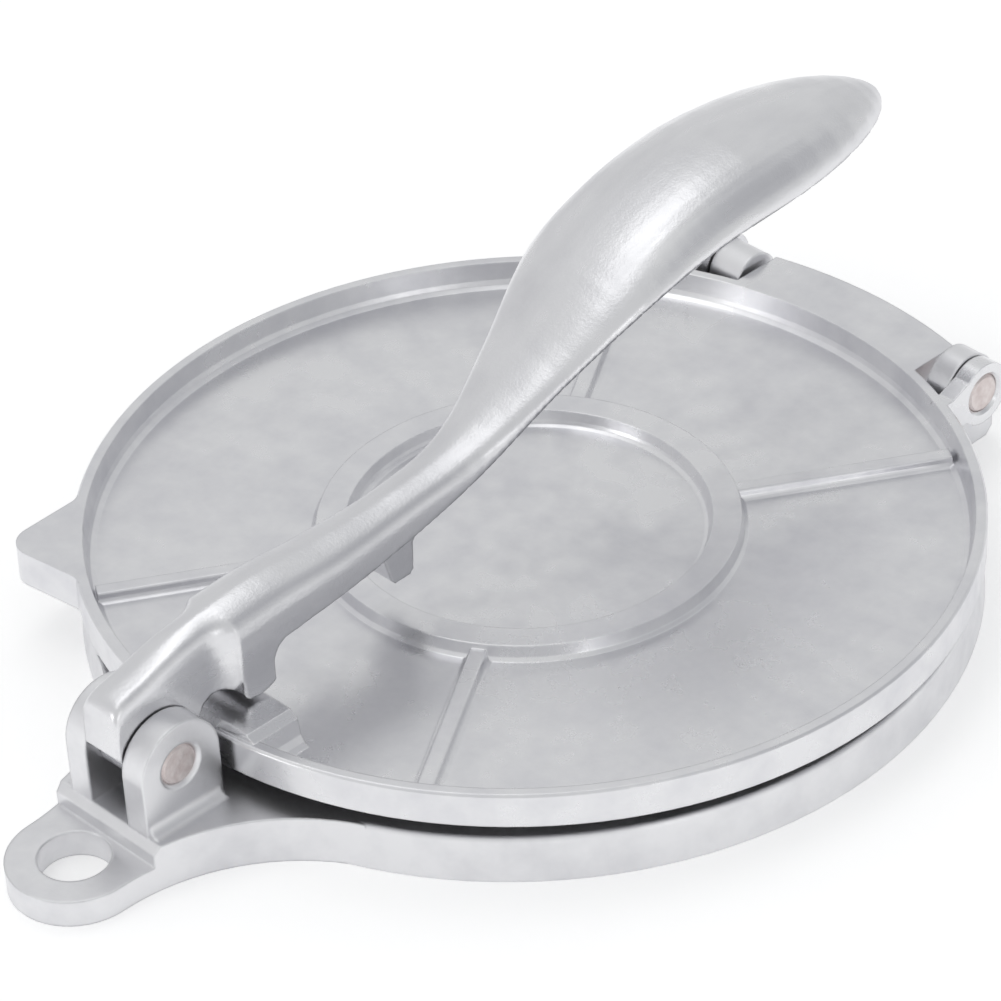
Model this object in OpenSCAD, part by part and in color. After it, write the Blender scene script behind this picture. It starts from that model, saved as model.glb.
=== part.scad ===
// Tortilla press: a round base, a hinged top plate and a crested lever, all cast, on three steel pins.
// The origin is the centre of the base disc, on the table. +Y points to the hinge, -Y to the lever's pin.

/* [Plates] */
// Diameter of the hinged top plate
plate_d = 200; // [190:1:210]
// How far the base's top edge lies inside the top plate's edge
base_inset = 1; // [0:0.1:3]
// Height of the base disc
base_h = 11.3; // [10.5:0.1:12]
// Height of the top plate's rim
rim_h = 8.6; // [7.6:0.1:9.5]
// Width of the top plate's rim, seen from above
rim_w = 2.6; // [2:0.1:4]
// Thickness of the top plate's floor
floor_t = 2.5; // [2:0.1:3.2]
// Gap between the plates when they are fully closed
closed_gap = 0.4; // [0.3:0.1:1]
// Angle by which the top plate stands open
open_deg = 1.05; // [0.8:0.05:1.4]

/* [Centre ring and ribs] */
// Outer diameter of the raised ring
ring_d = 94.6; // [80:0.2:110]
// Width of the raised ring
ring_w = 7.6; // [5:0.1:9]
// Height of the raised ring above the floor
ring_h = 3.3; // [2.5:0.1:3.8]
// Width of a radial rib at its foot
rib_w = 6.2; // [5:0.1:8]
// Height of a radial rib above the floor
rib_h = 2.2; // [1.5:0.1:2.8]
// Angle of the ribs from the lever's line
rib_deg = 32; // [28:1:45]

/* [Lift tab] */
// Direction of the lift tab, clockwise from the lever's pin seen from above
tab_deg = 40.4; // [38:0.2:60]
// Reach of the lift tab beyond the rim
tab_reach = 11.9; // [9:0.1:16]
// Half of the angle that the lift tab takes of the rim
tab_half_deg = 8.3; // [7.5:0.1:11]
// Radius of the lift tab's nose
tab_nose_r = 6; // [4:0.1:7]
// Radius of the fillets between the lift tab and the rim
tab_fillet_r = 4; // [2:0.1:6]

/* [Base casting] */
// Thickness of the pressing deck
deck_t = 4.5; // [3.5:0.1:6]
// Thickness of the skirt round the deck
skirt_t = 4; // [3:0.1:6]
// Thickness of the ribs under the deck
web_t = 3.5; // [3:0.1:5]
// Number of ribs under the deck
web_count = 6; // [4:1:10]
// Diameter of the boss in the middle of the underside
boss_d = 24; // [18:1:36]
// Distance from the top plate's edge to the middle of the hanging hole
hang_out = 32.9; // [31:0.1:38]
// Diameter of the hanging hole
hang_d = 15.6; // [12:0.1:17]
// Outer diameter of the hanging ring
hang_ring_d = 29.2; // [27:0.1:32]
// Thickness of the hanging ring
hang_t = 6.4; // [5:0.1:8]

/* [Lever pin and clevis] */
// Diameter of the steel pins
pin_d = 9.2; // [8:0.1:9.8]
// Distance from the top plate's edge to the lever's pin
pivot_out = 12; // [11.5:0.1:13]
// Height of the lever's pin
pivot_z = 24.4; // [23.8:0.1:25.4]
// Width of the slot between the ears
slot_w = 11.6; // [10:0.1:12.4]
// Thickness of an ear
ear_t = 6.2; // [5:0.1:7]
// Radius of an ear's round top
ear_r = 10.5; // [9.5:0.1:10.8]
// Radial clearance of a bore that turns on its pin
run_gap = 0.08; // [0.03:0.01:0.1]
// Side clearance of the lever's eye, on each side
side_gap = 0.4; // [0.2:0.1:0.8]

/* [Hinge] */
// Distance from the top plate's edge to the hinge line
hinge_out = 3; // [2.6:0.1:4]
// Height of the hinge line
hinge_z = 16.8; // [16.5:0.1:17.6]
// Width across the outer faces of the cheeks
hinge_w = 84; // [82:0.5:92]
// Thickness of a cheek
cheek_t = 4.2; // [3.5:0.1:5]
// Radius of a cheek's round end
cheek_r = 7.7; // [7:0.1:8.4]
// Thickness of the right hinge lug of the base, and depth of the pins in both lugs
lug_t = 6; // [5:0.1:7]
// Radius of the right lug's round top
lug_r = 8; // [7.4:0.1:8]
// Radius of the left lug's round top, which stands lower
left_lug_r = 6.4; // [6:0.1:8]
// Width of the tongue between the lugs
tongue_w = 54.8; // [50:0.2:56]
// Reach of the tongue beyond the rim
tongue_out = 12.3; // [10:0.1:14]

/* [Pressure pad and heel] */
// Width of the pressure pad at its foot
pad_w = 35.6; // [32:0.2:40]
// Depth of the pressure pad along the lever
pad_l = 13.5; // [12.5:0.1:18]
// Height of the pressure pad above the rim
pad_h = 1.4; // [1:0.1:2]
// Gap between the heel and the pad in the resting pose
heel_gap = 0.9; // [0.9:0.1:1.4]
// Distance from the top plate's edge in to the middle of the heel
heel_in = 13.3; // [12.8:0.1:13.8]
// Width of the heel
heel_w = 17.6; // [16:0.1:20]
// Radius of the heel's rounded sole
heel_r = 8.5; // [7.5:0.1:9]

/* [Lever] */
// Distance from the lever's pin to the tip of the handle
lever_l = 225; // [222:1:232]
// Width of the handle at its widest
handle_w = 39.6; // [36:0.2:44]
// Thickness of the handle's shell
shell_t = 3; // [2.5:0.1:4]
// Distance from the ring's outer edge in to the middle of the stop foot
foot_in = 6.3; // [5:0.1:7]
// Width of the stop foot
foot_w = 7.6; // [6:0.1:9]
// Height of the stop foot's sole in the resting pose
foot_z = 27.6; // [27.2:0.1:29]

/* [Hidden] */
$fn = 180;
small = 0.01;
plate_r = plate_d / 2;
base_r = plate_r - base_inset;
pin_r = pin_d / 2;
edge_r = 1;
plate_z = base_h + closed_gap;
ear_x = slot_w / 2 + ear_t;
press_gap = 0.02;
lip = 0.8;
pivot_y = plate_r + pivot_out;
hinge_y = plate_r + hinge_out;
tongue_r = plate_r + tongue_out;
cheek_x = hinge_w / 2 - cheek_t;
hinge_side_gap = 0.4;
lug_gap = 0.4;
lug_x = cheek_x - hinge_side_gap;
tongue_gap = 0.6;

// The left lug reaches right up to the tongue; the right one leaves a notch
left_notch = 1;
function lug_width(side) = side < 0 ? lug_x - tongue_w / 2 - left_notch : lug_t;
function lug_radius(side) = side < 0 ? left_lug_r : lug_r;

// The neck's side is an arc that touches the hanging ring's side and the disc
hang_y = plate_r + hang_out;
hang_r = hang_ring_d / 2;
neck_r = (hang_r * hang_r + hang_y * hang_y - base_r * base_r) / (2 * (base_r - hang_r));
neck_x = hang_r + neck_r;
neck_touch = base_r / (base_r + neck_r);

// Clevis block
block_front = pivot_y + ear_r + 1.6;
block_bevel = 2.4;

// Places on the resting top plate, from the same hinge that carries it
pad_front = 1.5;
pad_y = plate_r - pad_front - pad_l / 2;
function on_plate(y, z) = [
    (y - hinge_y) * cos(open_deg) + (z - hinge_z) * sin(open_deg) + hinge_y,
    (z - hinge_z) * cos(open_deg) - (y - hinge_y) * sin(open_deg) + hinge_z
];
heel_y = heel_in - plate_r;
heel_z = on_plate(heel_y, plate_z + rim_h + pad_h)[1] + heel_gap;

// Front end of the lever: concave flutes widen the eye's thickness to the heel's width
eye_w = slot_w - 2 * side_gap;
heel_front = heel_y - 3.9;
heel_back = heel_y + 4.7;
arch_r = 5.5;
arch_y = heel_y - 3 - arch_r;
arch_z = pivot_z + 0.6;
nose_y = -pivot_y - ear_r + 0.3;
nose_r = 4;
flute_r = 9;
flute_x = eye_w / 2 + flute_r;
flute_l = sqrt(flute_r * flute_r - pow(flute_x - heel_w / 2, 2));
flute_y = heel_front - flute_l;

// Sections of the lever, one every step along Y from the nose to the handle:
// half-width, height of the crest, height of the lower edge
lever_y0 = -8 - pivot_y;
lever_step = 20;
lever_sections = [
    [heel_w / 2, 40.9, 34.6],
    [heel_w / 2, 46.3, 35.5],
    [heel_w / 2, 48.3, 36.4],
    [8.0, 47.2, 37.4],
    [6.8, 47.6, 39.3],
    [7.4, 50.6, 44.9],
    [0.60 * handle_w / 2, 62.0, 58.0],
    [0.89 * handle_w / 2, 76.6, 70.4],
    [0.97 * handle_w / 2, 85.0, 76.2],
    [handle_w / 2, 88.2, 78.0],
    [handle_w / 2, 88.2, 78.0]
];
tip_y = lever_l - pivot_y;
dome_y = lever_y0 + 9 * lever_step;
tip_z = 75.4;
arm_y = lever_y0 + 4 * lever_step;
foot_y = foot_in - ring_d / 2;

// Smooth curve through four even stations, with u from 0 to 1 between the middle two
function spline(a, b, c, d, u) =
    b + 0.5 * u * (c - a + u * (2 * a - 5 * b + 4 * c - d + u * (3 * (b - c) + d - a)));
function station(i) = lever_sections[max(0, min(len(lever_sections) - 1, i))];
function section_value(y, k) =
    let (s = (max(lever_y0, min(y, dome_y)) - lever_y0) / lever_step, i = floor(s))
    spline(station(i - 1)[k], station(i)[k], station(i + 1)[k], station(i + 2)[k], s - i);
function smooth(u) = let (v = max(0, min(1, u))) v * v * (3 - 2 * v);

// From the widest place on, the handle closes to its tip; the nose rounds off at the other end
function to_tip(y) = max(0, min(1, (y - dome_y) / (tip_y - dome_y)));
function flute(y) =
    y <= flute_y ? (heel_w - eye_w) / 2 :
    y >= heel_front ? 0 :
    heel_w / 2 - flute_x + sqrt(flute_r * flute_r - pow(y - flute_y, 2));
function nose_drop(y) =
    let (d = max(0, min(nose_r, y - nose_y))) nose_r - sqrt(nose_r * nose_r - pow(nose_r - d, 2));
function half_width(y) = (section_value(y, 0) - flute(y)) * pow(1 - pow(to_tip(y), 2), 0.62);
function edge_z(y) = section_value(y, 2) - (section_value(dome_y, 2) - tip_z) * pow(to_tip(y), 3);
function crest_h(y) =
    (section_value(y, 1) - section_value(y, 2)) * sqrt(1 - pow(to_tip(y), 2)) - nose_drop(y);

// Height across a section, for t from -1 to 1: a flat-topped nose, a crested bar, and a dome further up
function bar(t, crown) = 1 - crown * pow(abs(t), 1.4) - (1 - crown) * (1 - sqrt(1 - pow(abs(t), 9)));
function dome(t) = sqrt(1 - pow(abs(t), 2.3));
function profile(t, y) =
    let (k = smooth((y - arm_y - 5) / 60), crown = 0.08 + 0.14 * smooth((y - nose_y - 12) / 24))
    bar(t, crown) * (1 - k) + dome(t) * k;

// A closed skin over rings of points that all have the same number of points
function skin_faces(rings, n) = [
    for (i = [0 : rings - 2], j = [0 : n - 1])
        let (a = i * n + j, b = i * n + (j + 1) % n, c = a + n, d = b + n)
        each [[a, b, c], [b, d, c]],
    [for (j = [n - 1 : -1 : 0]) j],
    [for (j = [0 : n - 1]) (rings - 1) * n + j]
];
module skin(rings) {
    n = len(rings[0]);
    polyhedron(points = [for (ring = rings) each ring], faces = skin_faces(len(rings), n), convexity = 6);
}

// Profiles drawn in the Y-Z plane and pushed along X, centred on x = 0
module along_x(width) {
    rotate([90, 0, 90])
        linear_extrude(width, center = true)
            children();
}

module cylinder_x(r, width) {
    rotate([0, 90, 0])
        cylinder(r = r, h = width, center = true);
}

// Widened mouth of a pin hole, on a face that looks along +X or -X
module hole_mouth(side) {
    rotate([0, -side * 90, 0])
        translate([0, 0, -small])
            cylinder(r1 = pin_r + lip + small, r2 = pin_r, h = lip + 2 * small);
}

// Outline of the base seen from above: disc, neck and hanging ring
module neck_outline() {
    difference() {
        polygon([
            [-neck_x * neck_touch, -hang_y * neck_touch],
            [neck_x * neck_touch, -hang_y * neck_touch],
            [hang_r, -hang_y],
            [-hang_r, -hang_y]
        ]);
        for (side = [-1, 1])
            translate([side * neck_x, -hang_y])
                circle(neck_r);
    }
    translate([0, -hang_y])
        circle(hang_r);
}

// Disc with a skirt, hollow underneath
module base_disc() {
    rotate_extrude()
        polygon([
            [0, base_h - deck_t],
            [base_r - skirt_t - 1.5, base_h - deck_t],
            [base_r - skirt_t, base_h - deck_t - 1.5],
            [base_r - skirt_t + 0.5, 0],
            [base_r + 0.3, 0],
            [base_r + 0.6, 0.6],
            [base_r, base_h - edge_r],
            [base_r - 0.3 * edge_r, base_h - 0.3 * edge_r],
            [base_r - edge_r, base_h],
            [0, base_h]
        ]);
}

// Ribs, ring and boss that stiffen the underside and stand on the table with the skirt
module base_webs() {
    for (i = [0 : web_count - 1])
        rotate(90 + i * 360 / web_count)
            translate([0, -web_t / 2, 0])
                cube([base_r - skirt_t / 2, web_t, base_h - deck_t / 2]);
    rotate_extrude()
        translate([ring_d / 2 - web_t, 0])
            square([web_t, base_h - deck_t / 2]);
    cylinder(d = boss_d, h = base_h - deck_t / 2);
}

module ear_profile() {
    translate([-pivot_y, pivot_z])
        circle(ear_r);
    translate([-pivot_y - ear_r, base_h / 2])
        square([2 * ear_r, pivot_z - base_h / 2]);
}

// Concave foot where an ear's outer face meets the block
module ear_foot(side) {
    foot_r = 3;
    mirror([side < 0 ? 1 : 0, 0, 0])
        translate([ear_x - small, -pivot_y, base_h - small])
            rotate([90, 0, 0])
                linear_extrude(2 * (ear_r - 0.8), center = true)
                    difference() {
                        square(foot_r);
                        translate([foot_r, foot_r])
                            circle(foot_r);
                    }
}

// A lug's front leans back below its round top, so that it stays inside the rim's clearance
module lug_profile(r) {
    lean = 30;
    front = [hinge_y - r * cos(lean), hinge_z - r * sin(lean)];
    foot_z = base_h - 0.5;
    translate([hinge_y, hinge_z])
        circle(r);
    polygon([
        [base_r - 24, 0],
        [hinge_y + r - 2, 0],
        [hinge_y + r, 2],
        [hinge_y + r, hinge_z],
        [hinge_y, hinge_z],
        front,
        [front[0] + (front[1] - foot_z) * tan(lean), foot_z],
        [base_r - 24, foot_z]
    ]);
}

module base() {
    // Everything that turns with the top plate's tongue stays inside this radius about the hinge
    sweep_r = norm([tongue_r - hinge_y, plate_z - hinge_z]) + tongue_gap;
    color("silver")
    difference() {
        union() {
            base_disc();
            base_webs();
            linear_extrude(base_h)
                neck_outline();
            for (side = [-1, 1]) {
                translate([side * (ear_x - ear_t / 2), 0, 0])
                    along_x(ear_t)
                        ear_profile();
                ear_foot(side);
                translate([side * (lug_x - lug_width(side) / 2), 0, 0])
                    along_x(lug_width(side))
                        lug_profile(lug_radius(side));
            }
        }
        // Step down to the hanging ring, with a bevelled edge
        translate([-hang_r - 2, -hang_y - hang_r - 1, hang_t])
            cube([2 * hang_r + 4, hang_y + hang_r + 1 - block_front, base_h]);
        translate([0, -block_front, base_h])
            rotate([45, 0, 0])
                cube([4 * hang_r, block_bevel, block_bevel], center = true);
        translate([0, -hang_y, -small])
            cylinder(d = hang_d, h = hang_t + 2 * small);
        // Lever pin hole through both ears
        translate([0, -pivot_y, pivot_z]) {
            cylinder_x(pin_r + press_gap, 2 * ear_x + 1);
            for (side = [-1, 1])
                translate([side * ear_x, 0, 0])
                    hole_mouth(side);
        }
        // Hinge pin holes in the lugs
        for (side = [-1, 1])
            translate([side * (lug_x - lug_t / 2), hinge_y, hinge_z])
                cylinder_x(pin_r + press_gap, lug_t + 1);
        // Relief for the tongue's swing
        translate([0, hinge_y, hinge_z])
            cylinder_x(sweep_r, tongue_w + left_notch);
    }
}

// The top plate's disc with its rim and centre ring, in the closed position
module plate_disc() {
    draft = 0.7;
    ring_r = ring_d / 2;
    ring_in = ring_r - ring_w;
    rim_in = plate_r - rim_w - draft;
    rotate_extrude()
        polygon([
            [0, 0],
            [plate_r - 0.6, 0],
            [plate_r, 0.6],
            [plate_r, rim_h - 0.5],
            [plate_r - 0.5, rim_h],
            [plate_r - rim_w, rim_h],
            [rim_in, floor_t + 1.8],
            [rim_in - 0.5, floor_t + 0.6],
            [rim_in - 1.6, floor_t],
            [ring_r + 0.8, floor_t],
            [ring_r, floor_t + 0.7],
            [ring_r - draft, floor_t + ring_h],
            [ring_in + draft, floor_t + ring_h],
            [ring_in, floor_t + 1.2],
            [ring_in - 0.4, floor_t + 0.4],
            [ring_in - 1.2, floor_t],
            [0, floor_t]
        ]);
}

// A radial rib along +X, with drafted sides that run out into the floor
module plate_rib() {
    inner = ring_d / 2 - ring_w / 2;
    outer = plate_r - rim_w - 1.5;
    half = rib_w / 2;
    translate([inner, 0, floor_t - small])
        rotate([90, 0, 90])
            linear_extrude(outer - inner)
                polygon([
                    [-half, 0],
                    [half, 0],
                    [half - 0.7, 0.3],
                    [half - 1.1, 0.9],
                    [half - 1.3, rib_h - 0.3],
                    [half - 1.6, rib_h],
                    [-half + 1.6, rib_h],
                    [-half + 1.3, rib_h - 0.3],
                    [-half + 1.1, 0.9],
                    [-half + 0.7, 0.3]
                ]);
}

// Tab with a round nose, whose sides run out along the rim in fillets
module lift_tab() {
    root = 0.2;
    nose_x = plate_r + tab_reach - tab_nose_r;
    foot = [plate_r * cos(tab_half_deg), plate_r * sin(tab_half_deg)];
    reach = [nose_x, 0] - foot;
    turn = atan2(reach[1], reach[0]) + asin(tab_nose_r / norm(reach));
    along = [cos(turn), sin(turn)];
    across = [-sin(turn), cos(turn)];
    touch = [nose_x, 0] + tab_nose_r * across;
    // The fillet's circle touches the tab's side and dips a little into the rim
    start = foot + tab_fillet_r * across;
    far = plate_r + tab_fillet_r - root;
    run = -along * start + sqrt(pow(along * start, 2) - start * start + far * far);
    centre = start + run * along;
    inside = (plate_r - 1.4) / far;
    linear_extrude(rim_h)
        union() {
            difference() {
                polygon([
                    centre * inside,
                    centre * (plate_r / far),
                    foot + run * along,
                    touch,
                    [nose_x, 0],
                    [touch[0], -touch[1]],
                    [(foot + run * along)[0], -(foot + run * along)[1]],
                    [centre[0] * plate_r / far, -centre[1] * plate_r / far],
                    [centre[0] * inside, -centre[1] * inside]
                ]);
                for (side = [-1, 1])
                    translate([centre[0], side * centre[1]])
                        circle(tab_fillet_r);
            }
            translate([nose_x, 0])
                circle(tab_nose_r);
        }
}

// Raised pad under the heel, bevelled on its front and sides, whose sides run out into the floor
module pressure_pad() {
    bevel = 2;
    top = rim_h + pad_h;
    half = pad_w / 2;
    intersection() {
        difference() {
            translate([0, pad_l / 2 - pad_y, 0])
                rotate([90, 0, 0])
                    linear_extrude(pad_l)
                        polygon([
                            [-half - 3, floor_t - small],
                            [half + 3, floor_t - small],
                            [half + 1.8, floor_t + 0.7],
                            [half + 0.8, floor_t + 2.2],
                            [half, rim_h],
                            [half - bevel, top],
                            [bevel - half, top],
                            [-half, rim_h],
                            [-half - 0.8, floor_t + 2.2],
                            [-half - 1.8, floor_t + 0.7]
                        ]);
            translate([0, -pad_y - pad_l / 2, rim_h])
                rotate([45, 0, 0])
                    translate([-pad_w, -3 * bevel, 0])
                        cube([2 * pad_w, 6 * bevel, 3 * pad_h]);
        }
        cylinder(r = plate_r - 1.3, h = 2 * top);
    }
}

// Tongue between the lugs, and the plate's outline behind the rim
module tongue() {
    linear_extrude(rim_h)
        intersection() {
            difference() {
                circle(tongue_r);
                circle(plate_r - rim_w / 2);
            }
            translate([-tongue_w / 2, 0])
                square([tongue_w, 2 * plate_r]);
        }
}

module cheek_profile() {
    foot_y = sqrt(plate_r * plate_r - hinge_w * hinge_w / 4) - rim_w / 2;
    translate([hinge_y, hinge_z - plate_z])
        circle(cheek_r);
    polygon([
        [foot_y, 0],
        [hinge_y, 0],
        [hinge_y + cheek_r * cos(60), hinge_z - plate_z + cheek_r * sin(60)],
        [hinge_y, hinge_z - plate_z + cheek_r],
        [foot_y + 3, rim_h],
        [foot_y, rim_h]
    ]);
}

// Room in the rim for the lugs' round tops, from just inside each lug to the cheek beside it
module lug_clearance() {
    for (side = [-1, 1]) {
        inner = lug_x - lug_width(side) - hinge_side_gap;
        outer = cheek_x + cheek_t / 2;
        translate([side * (inner + outer) / 2, hinge_y, hinge_z - plate_z])
            cylinder_x(lug_radius(side) + lug_gap, outer - inner);
    }
}

module plate_closed() {
    difference() {
        union() {
            difference() {
                plate_disc();
                lug_clearance();
            }
            for (a = [rib_deg, -rib_deg, 180 - rib_deg, 180 + rib_deg])
                rotate(90 + a)
                    plate_rib();
            rotate(-90 - tab_deg)
                lift_tab();
            pressure_pad();
            tongue();
            for (side = [-1, 1])
                translate([side * (cheek_x + cheek_t / 2), 0, 0])
                    along_x(cheek_t)
                        cheek_profile();
        }
        for (side = [-1, 1])
            translate([side * (cheek_x + cheek_t / 2), hinge_y, hinge_z - plate_z]) {
                cylinder_x(pin_r + run_gap, cheek_t + 1);
                translate([side * cheek_t / 2, 0, 0])
                    hole_mouth(side);
            }
    }
}

module top_plate() {
    color("gainsboro")
    translate([0, hinge_y, hinge_z])
        rotate([-open_deg, 0, 0])
            translate([0, -hinge_y, plate_z - hinge_z])
                plate_closed();
}

// Side of the lever's front end below the arm: eye, heel and the arch between them
module front_profile() {
    fillet_r = 5;
    under = edge_z(heel_back + fillet_r);
    translate([-pivot_y, pivot_z])
        circle(ear_r + 0.3);
    difference() {
        union() {
            polygon(concat(
                [[nose_y - 0.5, pivot_z]],
                [for (y = [nose_y : 4 : heel_back + fillet_r]) [y, edge_z(y) + 0.6]],
                [
                    [heel_back + fillet_r, under],
                    [heel_back, under - fillet_r],
                    [heel_front, under - fillet_r],
                    [arch_y, arch_z],
                    [-pivot_y, arch_z]
                ]
            ));
            intersection() {
                translate([heel_front, heel_z - 1])
                    square([heel_back - heel_front, 14]);
                union() {
                    translate([heel_y, heel_z + heel_r])
                        circle(heel_r);
                    translate([heel_front, heel_z + heel_r])
                        square([heel_back - heel_front, heel_r]);
                }
            }
        }
        translate([arch_y, arch_z])
            circle(arch_r);
        translate([heel_back + fillet_r, under - fillet_r])
            circle(fillet_r);
    }
}

// Plan of the front end below the arm
module front_plan() {
    translate([-eye_w / 2, -pivot_y - 2 * ear_r])
        square([eye_w, 4 * ear_r]);
    difference() {
        translate([-heel_w / 2, flute_y])
            square([heel_w, heel_y + 12 - flute_y]);
        for (side = [-1, 1])
            translate([side * flute_x, flute_y])
                circle(flute_r);
    }
}

module lever_front() {
    intersection() {
        along_x(heel_w)
            front_profile();
        linear_extrude(2 * pivot_z)
            front_plan();
    }
}

module foot_profile() {
    top = edge_z(foot_y) + 2;
    polygon([
        [foot_y - 6.5, top],
        [foot_y - 3, foot_z + 1],
        [foot_y - 2.2, foot_z],
        [foot_y + 2.2, foot_z],
        [foot_y + 3.2, foot_z + 1],
        [foot_y + 3.6, foot_z + 8],
        [foot_y + 8, top]
    ]);
}

// Nose, arm and handle: a skin through the sections, with the flat underside of each section closed
module lever_skin() {
    steps = 18;
    ys = concat(
        [for (a = [0 : 18 : 90]) nose_y + nose_r * (1 - cos(a))],
        [for (k = [1 : 4]) nose_y + nose_r + (flute_y - nose_y - nose_r) * k / 4],
        [for (k = [1 : 7]) flute_y + flute_l * k / 7],
        [for (y = [heel_front + 4 : 4 : dome_y - 1]) y],
        [for (a = [0 : 9 : 81]) dome_y + (tip_y - dome_y) * sin(a)],
        [dome_y + (tip_y - dome_y) * sin(87)]
    );
    skin([
        for (y = ys)
            let (w = half_width(y), z = edge_z(y), h = crest_h(y))
            concat(
                [for (i = [0 : steps]) let (t = sin(90 - 180 * i / steps)) [w * t, y, z + h * profile(t, y)]],
                [for (t = [-0.8 : 0.4 : 0.8]) [w * t, y, z - 0.8 * (1 - t * t)]]
            )
    ]);
}

// Hollow under the handle
module lever_hollow() {
    steps = 14;
    front = arm_y + 44;
    back = tip_y - shell_t - 2;
    skin([
        for (k = [0 : 16])
            let (
                y = front + (back - front) * k / 16,
                w = max(1, (half_width(y) - shell_t)) * (k == 16 ? 0.6 : 1),
                h = max(0.4, (crest_h(y) - shell_t) * smooth((y - front + 4) / 24)) * (k == 16 ? 0.3 : 1),
                z = edge_z(y)
            )
            concat(
                [for (i = [0 : steps]) let (t = sin(90 - 180 * i / steps)) [w * t, y, z + h * dome(t)]],
                [[-w, y, z - 6], [w, y, z - 6]]
            )
    ]);
}

// Rib along the hollow of the handle, flush with the handle's lower edge
module lever_keel() {
    keel_w = 7;
    first = arm_y + 24;
    last = tip_y - 42;
    along_x(keel_w)
        polygon(concat(
            [for (k = [0 : 12]) let (y = first + (last - first) * k / 12) [y, edge_z(y) + 0.4 * crest_h(y)]],
            [for (k = [12 : -1 : 0]) let (y = first + (last - first) * k / 12) [y, edge_z(y) - 0.4]]
        ));
}

module lever() {
    color("whitesmoke")
    difference() {
        union() {
            difference() {
                lever_skin();
                lever_hollow();
            }
            lever_keel();
            lever_front();
            along_x(foot_w)
                foot_profile();
        }
        translate([0, -pivot_y, pivot_z])
            cylinder_x(pin_r + run_gap, eye_w + 1);
    }
}

// A plain pin with bevelled ends
module pin_along_x(length) {
    bevel = 0.6;
    rotate([0, 90, 0])
        rotate_extrude($fn = 90)
            polygon([
                [0, -length / 2],
                [pin_r - bevel, -length / 2],
                [pin_r, -length / 2 + bevel],
                [pin_r, length / 2 - bevel],
                [pin_r - bevel, length / 2],
                [0, length / 2]
            ]);
}

module lever_pin() {
    color("tan")
    translate([0, -pivot_y, pivot_z])
        pin_along_x(2 * ear_x - 0.6);
}

// Each hinge pin sits in a lug and carries the cheek outside it
module hinge_pin(side) {
    inner = lug_x - lug_t;
    outer = cheek_x + cheek_t - 0.3;
    color("tan")
    translate([side * (inner + outer) / 2, hinge_y, hinge_z])
        pin_along_x(outer - inner);
}

module hinge_pin_left() { hinge_pin(-1); }

module hinge_pin_right() { hinge_pin(1); }

base();
top_plate();
lever();
lever_pin();
hinge_pin_left();
hinge_pin_right();
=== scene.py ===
# Tortilla press in cast aluminium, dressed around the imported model. Lengths are in metres.
import math

import bmesh
import bpy
import numpy as np
from mathutils import Matrix, Vector


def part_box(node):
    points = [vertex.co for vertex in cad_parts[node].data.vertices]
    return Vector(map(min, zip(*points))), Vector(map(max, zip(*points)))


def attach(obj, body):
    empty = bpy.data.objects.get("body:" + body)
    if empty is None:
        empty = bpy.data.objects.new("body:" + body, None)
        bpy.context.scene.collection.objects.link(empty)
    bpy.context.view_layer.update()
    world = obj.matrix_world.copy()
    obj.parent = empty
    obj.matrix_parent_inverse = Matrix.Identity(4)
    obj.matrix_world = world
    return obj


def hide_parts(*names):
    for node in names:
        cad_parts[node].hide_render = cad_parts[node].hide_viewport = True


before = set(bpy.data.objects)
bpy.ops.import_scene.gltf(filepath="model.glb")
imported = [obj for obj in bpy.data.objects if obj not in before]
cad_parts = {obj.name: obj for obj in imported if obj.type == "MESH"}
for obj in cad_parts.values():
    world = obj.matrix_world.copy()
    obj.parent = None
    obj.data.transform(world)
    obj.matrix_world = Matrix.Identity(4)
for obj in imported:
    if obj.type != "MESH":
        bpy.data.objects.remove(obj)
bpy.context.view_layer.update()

MM = 0.001
WHITE = "#ffffff"

# The photograph's camera: a long lens at the front right. The image is square.
IMAGE_PX = 1001
FOCAL_PX = 5000
SENSOR_MM = 36
AZIMUTH, ELEVATION, ROLL = 47.573, 36.627, -3.556
DISTANCE = 1.11446
TARGET = Vector((-0.01795, 0.00837, 0.01))
FAR_CLIP = 20

# Light tent: pale all round, with its darkest wall at the back right (azimuth, elevation).
# The stops run from straight away from that wall to straight at it.
DARK_WALL = (136, 45)
TENT = [(0.0, "#e4e4e5"), (0.90, "#e1e2e2"), (0.97, "#c4c5c8"), (1.0, "#babbbe")]

# Lamps as the press sees them: azimuth (0 in front, 90 right), elevation, distance, length,
# width, watts. The strip hangs along the press and lays the long highlight on the handle's
# crest. The windows light the rim's inner wall and the sides of the ring and the ribs.
LAMPS = {
    "strip": (280, 75, 1.20, 1.15, 0.44, 1.35),
    "front_window": (345, 16, 1.30, 0.32, 0.32, 0.8),
    "side_window": (75, 15, 1.30, 0.32, 0.32, 0.42),
}

# White paper under the press. The lift is the light it adds for the camera and in reflections.
PAPER = "#f0f0f0"
PAPER_HALF_WIDTH = 4.0
PAPER_LIFT = 0.33

# The cast metals: pale and dark tone, smooth and dull roughness, how far the pattern is drawn
# out along Y, size and depth of the sand's pits in mm, and the radius of rubbed edges in mm.
# The pits are drawn larger than grains of moulding sand, because finer ones wouldn't show.
CASTINGS = {
    "tumbled_cast_aluminium": ("#e6e6e8", "#d8d8db", 0.34, 0.46, 1, 0.9, 0.035, 0.9),
    "satin_cast_aluminium": ("#e6e6e8", "#d7d7db", 0.26, 0.36, 1, 0.7, 0.022, 0.5),
    "ground_cast_aluminium": ("#e6e6e8", "#d7d7da", 0.24, 0.36, 3, 0.8, 0.06, 0.8),
}

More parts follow.
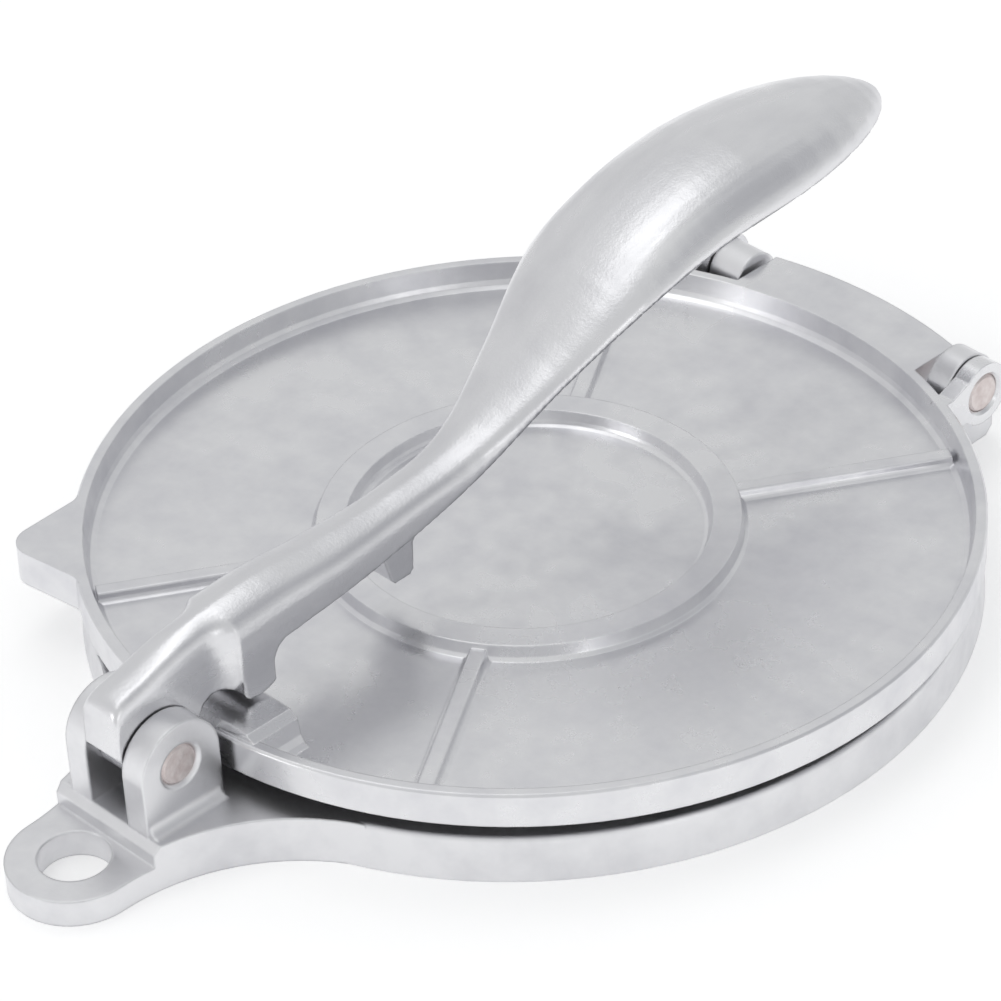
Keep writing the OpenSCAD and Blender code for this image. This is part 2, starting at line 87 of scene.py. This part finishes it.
# Their pattern: clouds the size of a hand's wipe, mixed with a share of stains the size of a
# fingertip. Between the two values of each span the metal turns from dark to pale, from dull to
# smooth, and from fully pitted to worn, where a part of the pits' strength is left.
CLOUD_MM = 34
STAIN_MM = 8
STAIN_SHARE = 0.4
TONE_SPAN = (0.36, 0.60)
GLOSS_SPAN = (0.36, 0.62)
WEAR_SPAN = (0.42, 0.62)
WORN_PITS = 0.35
EDGE_SAMPLES = 6

# The pins' steel, from the bottom of its dents to their tops
STEEL_DARK, STEEL_PALE = "#cfc3c1", "#e2dad8"
STEEL_DULL, STEEL_SMOOTH = 0.5, 0.38
DENT_SPAN = (0.3, 0.7)
DENT_MM = 2.4
DENT_DEPTH_MM = 0.18

# Relief under the lever's eye: the height of the nose's lower edge above the pin's middle, and
# the radius about the pin that the eye is cut back to
LIP_ABOVE_PIN = 4 * MM
EYE_RADIUS = 7.2 * MM

# The lever's skin. Its cells are the lever's length, divided by the scale, and halved as often as
# the depth says. Smoothing is (pairs of passes, step back). A point of the handle that smoothing
# would pull in by more than HELD_FROM_MM is held, and one by HELD_FULLY_MM stays where it was.
MERGE_WITHIN = 0.001 * MM
SKIN_DEPTH = 9
SKIN_SCALE = 0.92
FRONT_SMOOTHING = (18, 0.53)
HANDLE_SMOOTHING = (70, 0.508)
HANDLE_START_Y = -75 * MM
HANDLE_BLEND = 20 * MM
HELD_FROM_MM = 0.10
HELD_FULLY_MM = 0.20


def linear(hex_colour):
    """sRGB hex to the linear RGBA that Blender's sockets take."""
    parts = [int(hex_colour[i:i + 2], 16) / 255 for i in (1, 3, 5)]
    return [p / 12.92 if p <= 0.04045 else ((p + 0.055) / 1.055) ** 2.4 for p in parts] + [1.0]


def toward(azimuth, elevation):
    """Unit vector that points from the press to a place given by its two angles in degrees."""
    a, e = math.radians(azimuth), math.radians(elevation)
    return Vector((math.sin(a) * math.cos(e), -math.cos(a) * math.cos(e), math.sin(e)))


def add(tree, kind, links=None, inputs=None, stops=None, **settings):
    """Adds a node, with its properties, the values and sources of its sockets, and a ramp's
    stops."""
    node = tree.nodes.new(kind)
    for name, value in settings.items():
        setattr(node, name, value)
    for name, value in (inputs or {}).items():
        node.inputs[name].default_value = value
    for name, source in (links or {}).items():
        tree.links.new(source, node.inputs[name])
    if stops:
        elements = node.color_ramp.elements
        while len(elements) < len(stops):
            elements.new(0.5)
        for element, (position, value) in zip(elements, stops):
            element.position = position
            element.color = linear(value) if isinstance(value, str) else (value, value, value, 1)
    return node


def link(name, mesh):
    """Makes an object of a mesh or a lamp and puts it in the scene, at the origin."""
    thing = bpy.data.objects.new(name, mesh)
    bpy.context.scene.collection.objects.link(thing)
    return thing


def empty_tree(owner):
    """The cleared node tree of a material or a world."""
    owner.use_nodes = True
    owner.node_tree.nodes.clear()
    return owner.node_tree


def new_metal(name):
    """An empty metal: its material, its node tree and its principled shader, wired to the
    output."""
    material = bpy.data.materials.new(name)
    tree = empty_tree(material)
    shader = add(tree, "ShaderNodeBsdfPrincipled", inputs={"Metallic": 1.0})
    add(tree, "ShaderNodeOutputMaterial", {"Surface": shader.outputs["BSDF"]})
    return material, tree, shader


def cast_aluminium(name):
    """Gravity-cast aluminium, tumbled to a satin skin, or ground along its length. It gives the
    eye a cloudy pale grey, duller where the mould's sand still shows as fine pits, and edges
    rubbed round that catch a thin light line."""
    pale, dark, smooth, dull, streak, sand_mm, sand_depth_mm, edge_mm = CASTINGS[name]
    material, tree, shader = new_metal(name)
    place = add(tree, "ShaderNodeTexCoord").outputs["Object"]
    drawn = add(tree, "ShaderNodeMapping", {"Vector": place},
                {"Scale": (1, 1 / streak, 1)}).outputs["Vector"]
    clouds = add(tree, "ShaderNodeTexNoise", {"Vector": drawn},
                 {"Scale": 1 / (CLOUD_MM * MM), "Detail": 4.0, "Roughness": 0.55})
    stains = add(tree, "ShaderNodeTexNoise", {"Vector": drawn},
                 {"Scale": 1 / (STAIN_MM * MM), "Detail": 3.0, "Roughness": 0.6})
    patch = add(tree, "ShaderNodeMix", {"A": clouds.outputs["Fac"], "B": stains.outputs["Fac"]},
                {"Factor": STAIN_SHARE}).outputs["Result"]
    tone = add(tree, "ShaderNodeValToRGB", {"Fac": patch},
               stops=list(zip(TONE_SPAN, (dark, pale))))
    gloss = add(tree, "ShaderNodeValToRGB", {"Fac": patch},
                stops=list(zip(GLOSS_SPAN, (dull, smooth))))
    # Sand pits, deep in some patches and worn away in others
    sand = add(tree, "ShaderNodeTexNoise", {"Vector": place},
               {"Scale": 1 / (sand_mm * MM), "Detail": 2.0, "Roughness": 0.65})
    worn = add(tree, "ShaderNodeValToRGB", {"Fac": patch},
               stops=list(zip(WEAR_SPAN, (1.0, WORN_PITS))))
    rounded = add(tree, "ShaderNodeBevel", inputs={"Radius": edge_mm * MM}, samples=EDGE_SAMPLES)
    pits = add(tree, "ShaderNodeBump",
               {"Height": sand.outputs["Fac"], "Strength": worn.outputs["Color"],
                "Normal": rounded.outputs["Normal"]},
               {"Distance": sand_depth_mm * MM})
    tree.links.new(tone.outputs["Color"], shader.inputs["Base Color"])
    tree.links.new(gloss.outputs["Color"], shader.inputs["Roughness"])
    tree.links.new(pits.outputs["Normal"], shader.inputs["Normal"])
    return material


def drawn_steel():
    """Cold-drawn mild steel, cut to pins and hammered home. It gives the eye a warmer, faintly pink
    grey than the aluminium, with shallow dents on the ends."""
    material, tree, shader = new_metal("drawn_steel")
    place = add(tree, "ShaderNodeTexCoord").outputs["Object"]
    dents = add(tree, "ShaderNodeTexNoise", {"Vector": place},
                {"Scale": 1 / (DENT_MM * MM), "Detail": 3.0, "Roughness": 0.6}).outputs["Fac"]
    tone = add(tree, "ShaderNodeValToRGB", {"Fac": dents},
               stops=list(zip(DENT_SPAN, (STEEL_DARK, STEEL_PALE))))
    gloss = add(tree, "ShaderNodeValToRGB", {"Fac": dents},
                stops=list(zip(DENT_SPAN, (STEEL_DULL, STEEL_SMOOTH))))
    bump = add(tree, "ShaderNodeBump", {"Height": dents},
               {"Distance": DENT_DEPTH_MM * MM, "Strength": 0.5})
    tree.links.new(tone.outputs["Color"], shader.inputs["Base Color"])
    tree.links.new(gloss.outputs["Color"], shader.inputs["Roughness"])
    tree.links.new(bump.outputs["Normal"], shader.inputs["Normal"])
    return material


def eye_relief(pin_y, pin_z, nose_y, nose_z, radius):
    """Cutter for the front and underside of the lever's eye. Its profile in the Y-Z plane runs in
    at nose_z, leaves a sloping lip, and then follows a circle about the pin from the eye's front
    to its back, where its radius grows with the square of the angle until it has left the eye. The
    profile is carried along X."""
    steps = 50
    eye_front, eye_bottom, eye_back = (math.radians(angle) for angle in (-5, -80, -165))
    growth = 4.2 * MM
    far = 30 * MM
    half_width = 9 * MM
    angles = np.linspace(eye_front, eye_back, steps)
    grown = np.clip((eye_bottom - angles) / (eye_bottom - eye_back), 0, 1) ** 2
    edge = radius + growth * grown
    round_eye = np.stack([pin_y - edge * np.cos(angles), pin_z + edge * np.sin(angles)], axis=1)
    outside = [(round_eye[-1, 0], pin_z - far), (nose_y - far, pin_z - far), (nose_y - far, nose_z)]
    ring = np.concatenate([[(nose_y, nose_z)], round_eye, outside])[::-1]
    count = len(ring)
    points = np.concatenate([np.column_stack([np.full(count, x), ring])
                             for x in (-half_width, half_width)])
    i = np.arange(count)
    sides = np.stack([i, (i + 1) % count, (i + 1) % count + count, i + count], axis=1)
    mesh = bpy.data.meshes.new("eye_relief")
    mesh.from_pydata(points.tolist(), [],
                     sides.tolist() + [i[::-1].tolist(), (i + count).tolist()])
    return link("eye_relief", mesh)


def low_pass(points, edges, pairs, back):
    """Smooths a mesh without shrinking it: in turn each pass moves every point by 0.5 towards the
    mean of its neighbours, and by back away from it. The closer back is to 0.5, the longer the
    waves that fade."""
    a, b = edges.T
    count = len(points)
    degree = np.bincount(edges.ravel(), minlength=count)[:, None]
    for step in [0.5, -back] * pairs:
        mean = np.stack([np.bincount(a, points[b, k], count) + np.bincount(b, points[a, k], count)
                         for k in range(3)], axis=1) / degree
        points = points + step * (mean - points)
    return points


def apply_modifiers(piece):
    """Replaces a piece's mesh by what its modifiers make of it."""
    seen = piece.evaluated_get(bpy.context.evaluated_depsgraph_get())
    piece.data = bpy.data.meshes.new_from_object(seen)
    piece.modifiers.clear()


def rows(items, name, width, kind=np.float32):
    """One property of all of a mesh's items, as the rows of an array."""
    values = np.empty(len(items) * width, dtype=kind)
    items.foreach_get(name, values)
    return values.reshape(-1, width)


def poured_lever():
    """One poured skin over the lever's solids: a copy of them, relieved under the eye, remeshed on
    a fine grid and smoothed, so that every joint between them runs over in a small fillet, as it
    does in a mould. The handle is smoothed further, and its thin outer edges stay where they
    were."""
    pin_y, pin_z = np.mean(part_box("lever_pin"), axis=0)[1:]
    low, high = (np.array(corner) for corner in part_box("lever"))
    piece = link("lever_casting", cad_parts["lever"].data.copy())
    mesh = bmesh.new()
    mesh.from_mesh(piece.data)
    bmesh.ops.remove_doubles(mesh, verts=mesh.verts, dist=MERGE_WITHIN)
    mesh.to_mesh(piece.data)
    mesh.free()
    relief = piece.modifiers.new("relief", "BOOLEAN")
    relief.operation = "DIFFERENCE"
    cutter = eye_relief(pin_y, pin_z, low[1], pin_z + LIP_ABOVE_PIN, EYE_RADIUS)
    relief.object = cutter
    apply_modifiers(piece)
    bpy.data.objects.remove(cutter)

    grid = piece.modifiers.new("skin", "REMESH")
    grid.mode = "SHARP"
    grid.octree_depth = SKIN_DEPTH
    grid.scale = SKIN_SCALE
    grid.use_remove_disconnected = False
    apply_modifiers(piece)

    raw = rows(piece.data.vertices, "co", 3)
    normal = rows(piece.data.vertex_normals, "vector", 3)
    edges = rows(piece.data.edges, "vertices", 2, np.int32)
    front = low_pass(raw, edges, *FRONT_SMOOTHING)
    handle = low_pass(raw, edges, *HANDLE_SMOOTHING)
    shortened_mm = np.sum((raw - handle) * normal, axis=1)[:, None] / MM
    held = np.clip((shortened_mm - HELD_FROM_MM) / (HELD_FULLY_MM - HELD_FROM_MM), 0, 1)
    handle += (raw - handle) * held
    share = np.clip((raw[:, 1:2] - HANDLE_START_Y) / HANDLE_BLEND, 0, 1)
    shape = np.clip(front * (1 - share) + handle * share, low, high)
    piece.data.vertices.foreach_set("co", shape.astype(np.float32).ravel())
    piece.data.polygons.foreach_set("use_smooth", np.ones(len(piece.data.polygons), dtype=bool))
    return piece


def paper_floor():
    """White paper under the press. It is lifted to white for the camera and in reflections, and
    keeps the press's shadow."""
    w = PAPER_HALF_WIDTH
    mesh = bpy.data.meshes.new("floor")
    mesh.from_pydata([(-w, -w, 0), (w, -w, 0), (w, w, 0), (-w, w, 0)], [], [(0, 1, 2, 3)])
    material = bpy.data.materials.new("white_paper")
    tree = empty_tree(material)
    paper = add(tree, "ShaderNodeBsdfDiffuse", inputs={"Color": linear(PAPER)})
    path = add(tree, "ShaderNodeLightPath")
    seen = add(tree, "ShaderNodeMath",
               {0: path.outputs["Is Camera Ray"], 1: path.outputs["Is Glossy Ray"]},
               operation="MAXIMUM")
    lift = add(tree, "ShaderNodeMath", {0: seen.outputs[0]}, {1: PAPER_LIFT}, operation="MULTIPLY")
    glow = add(tree, "ShaderNodeEmission", {"Strength": lift.outputs[0]}, {"Color": linear(WHITE)})
    both = add(tree, "ShaderNodeAddShader", {0: paper.outputs[0], 1: glow.outputs[0]})
    add(tree, "ShaderNodeOutputMaterial", {"Surface": both.outputs[0]})
    mesh.materials.append(material)
    return link("floor", mesh)


def light_tent():
    """Pale tent round the press, white where the camera looks past it, and the lamps."""
    world = bpy.data.worlds.new("light_tent")
    bpy.context.scene.world = world
    tree = empty_tree(world)
    direction = add(tree, "ShaderNodeTexCoord").outputs["Generated"]
    heading = add(tree, "ShaderNodeVectorMath", {0: direction}, {1: toward(*DARK_WALL)},
                  operation="DOT_PRODUCT")
    spread = add(tree, "ShaderNodeMapRange", {"Value": heading.outputs["Value"]},
                 {"From Min": -1.0, "From Max": 1.0})
    wall = add(tree, "ShaderNodeValToRGB", {"Fac": spread.outputs["Result"]}, stops=TENT)
    tent = add(tree, "ShaderNodeBackground", {"Color": wall.outputs["Color"]})
    white = add(tree, "ShaderNodeBackground", inputs={"Color": linear(WHITE), "Strength": 1.0})
    path = add(tree, "ShaderNodeLightPath")
    mix = add(tree, "ShaderNodeMixShader",
              {0: path.outputs["Is Camera Ray"], 1: tent.outputs[0], 2: white.outputs[0]})
    add(tree, "ShaderNodeOutputWorld", {"Surface": mix.outputs[0]})

    for name, (azimuth, elevation, distance, length, width, watts) in LAMPS.items():
        data = bpy.data.lights.new(name, "AREA")
        data.shape = "RECTANGLE"
        data.size = length
        data.size_y = width
        data.energy = watts
        lamp = link(name, data)
        lamp.location = toward(azimuth, elevation) * distance
        lamp.rotation_mode = "QUATERNION"
        lamp.rotation_quaternion = toward(azimuth, elevation).to_track_quat("Z", "Y")


def photograph_camera():
    """Puts the camera where the photograph was taken from, rolled about the line of sight."""
    roll = math.radians(ROLL)
    back = toward(AZIMUTH, ELEVATION)
    right = (-back).cross(Vector((0, 0, 1))).normalized()
    up = back.cross(right)
    turned_right = right * math.cos(roll) + up * math.sin(roll)
    turned_up = up * math.cos(roll) - right * math.sin(roll)
    turned = Matrix((turned_right, turned_up, back)).transposed()
    data = bpy.data.cameras.new("camera")
    data.sensor_width = SENSOR_MM
    data.lens = SENSOR_MM * FOCAL_PX / IMAGE_PX
    data.clip_end = FAR_CLIP
    camera = link("camera", data)
    camera.location = TARGET + back * DISTANCE
    camera.rotation_mode = "QUATERNION"
    camera.rotation_quaternion = turned.to_quaternion()
    bpy.context.scene.camera = camera


def dress(thing, material):
    """Gives the material to the whole of an object."""
    thing.data.materials.clear()
    thing.data.materials.append(material)


pin_metal = drawn_steel()
dress(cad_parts["base"], cast_aluminium("tumbled_cast_aluminium"))
dress(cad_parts["top_plate"], cast_aluminium("satin_cast_aluminium"))
for pin in ("lever_pin", "hinge_pin_left", "hinge_pin_right"):
    dress(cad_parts[pin], pin_metal)

lever = poured_lever()
dress(lever, cast_aluminium("ground_cast_aluminium"))
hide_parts("lever")
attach(lever, "lever")

paper_floor()
light_tent()
photograph_camera()
bpy.context.scene.view_settings.view_transform = "Standard"
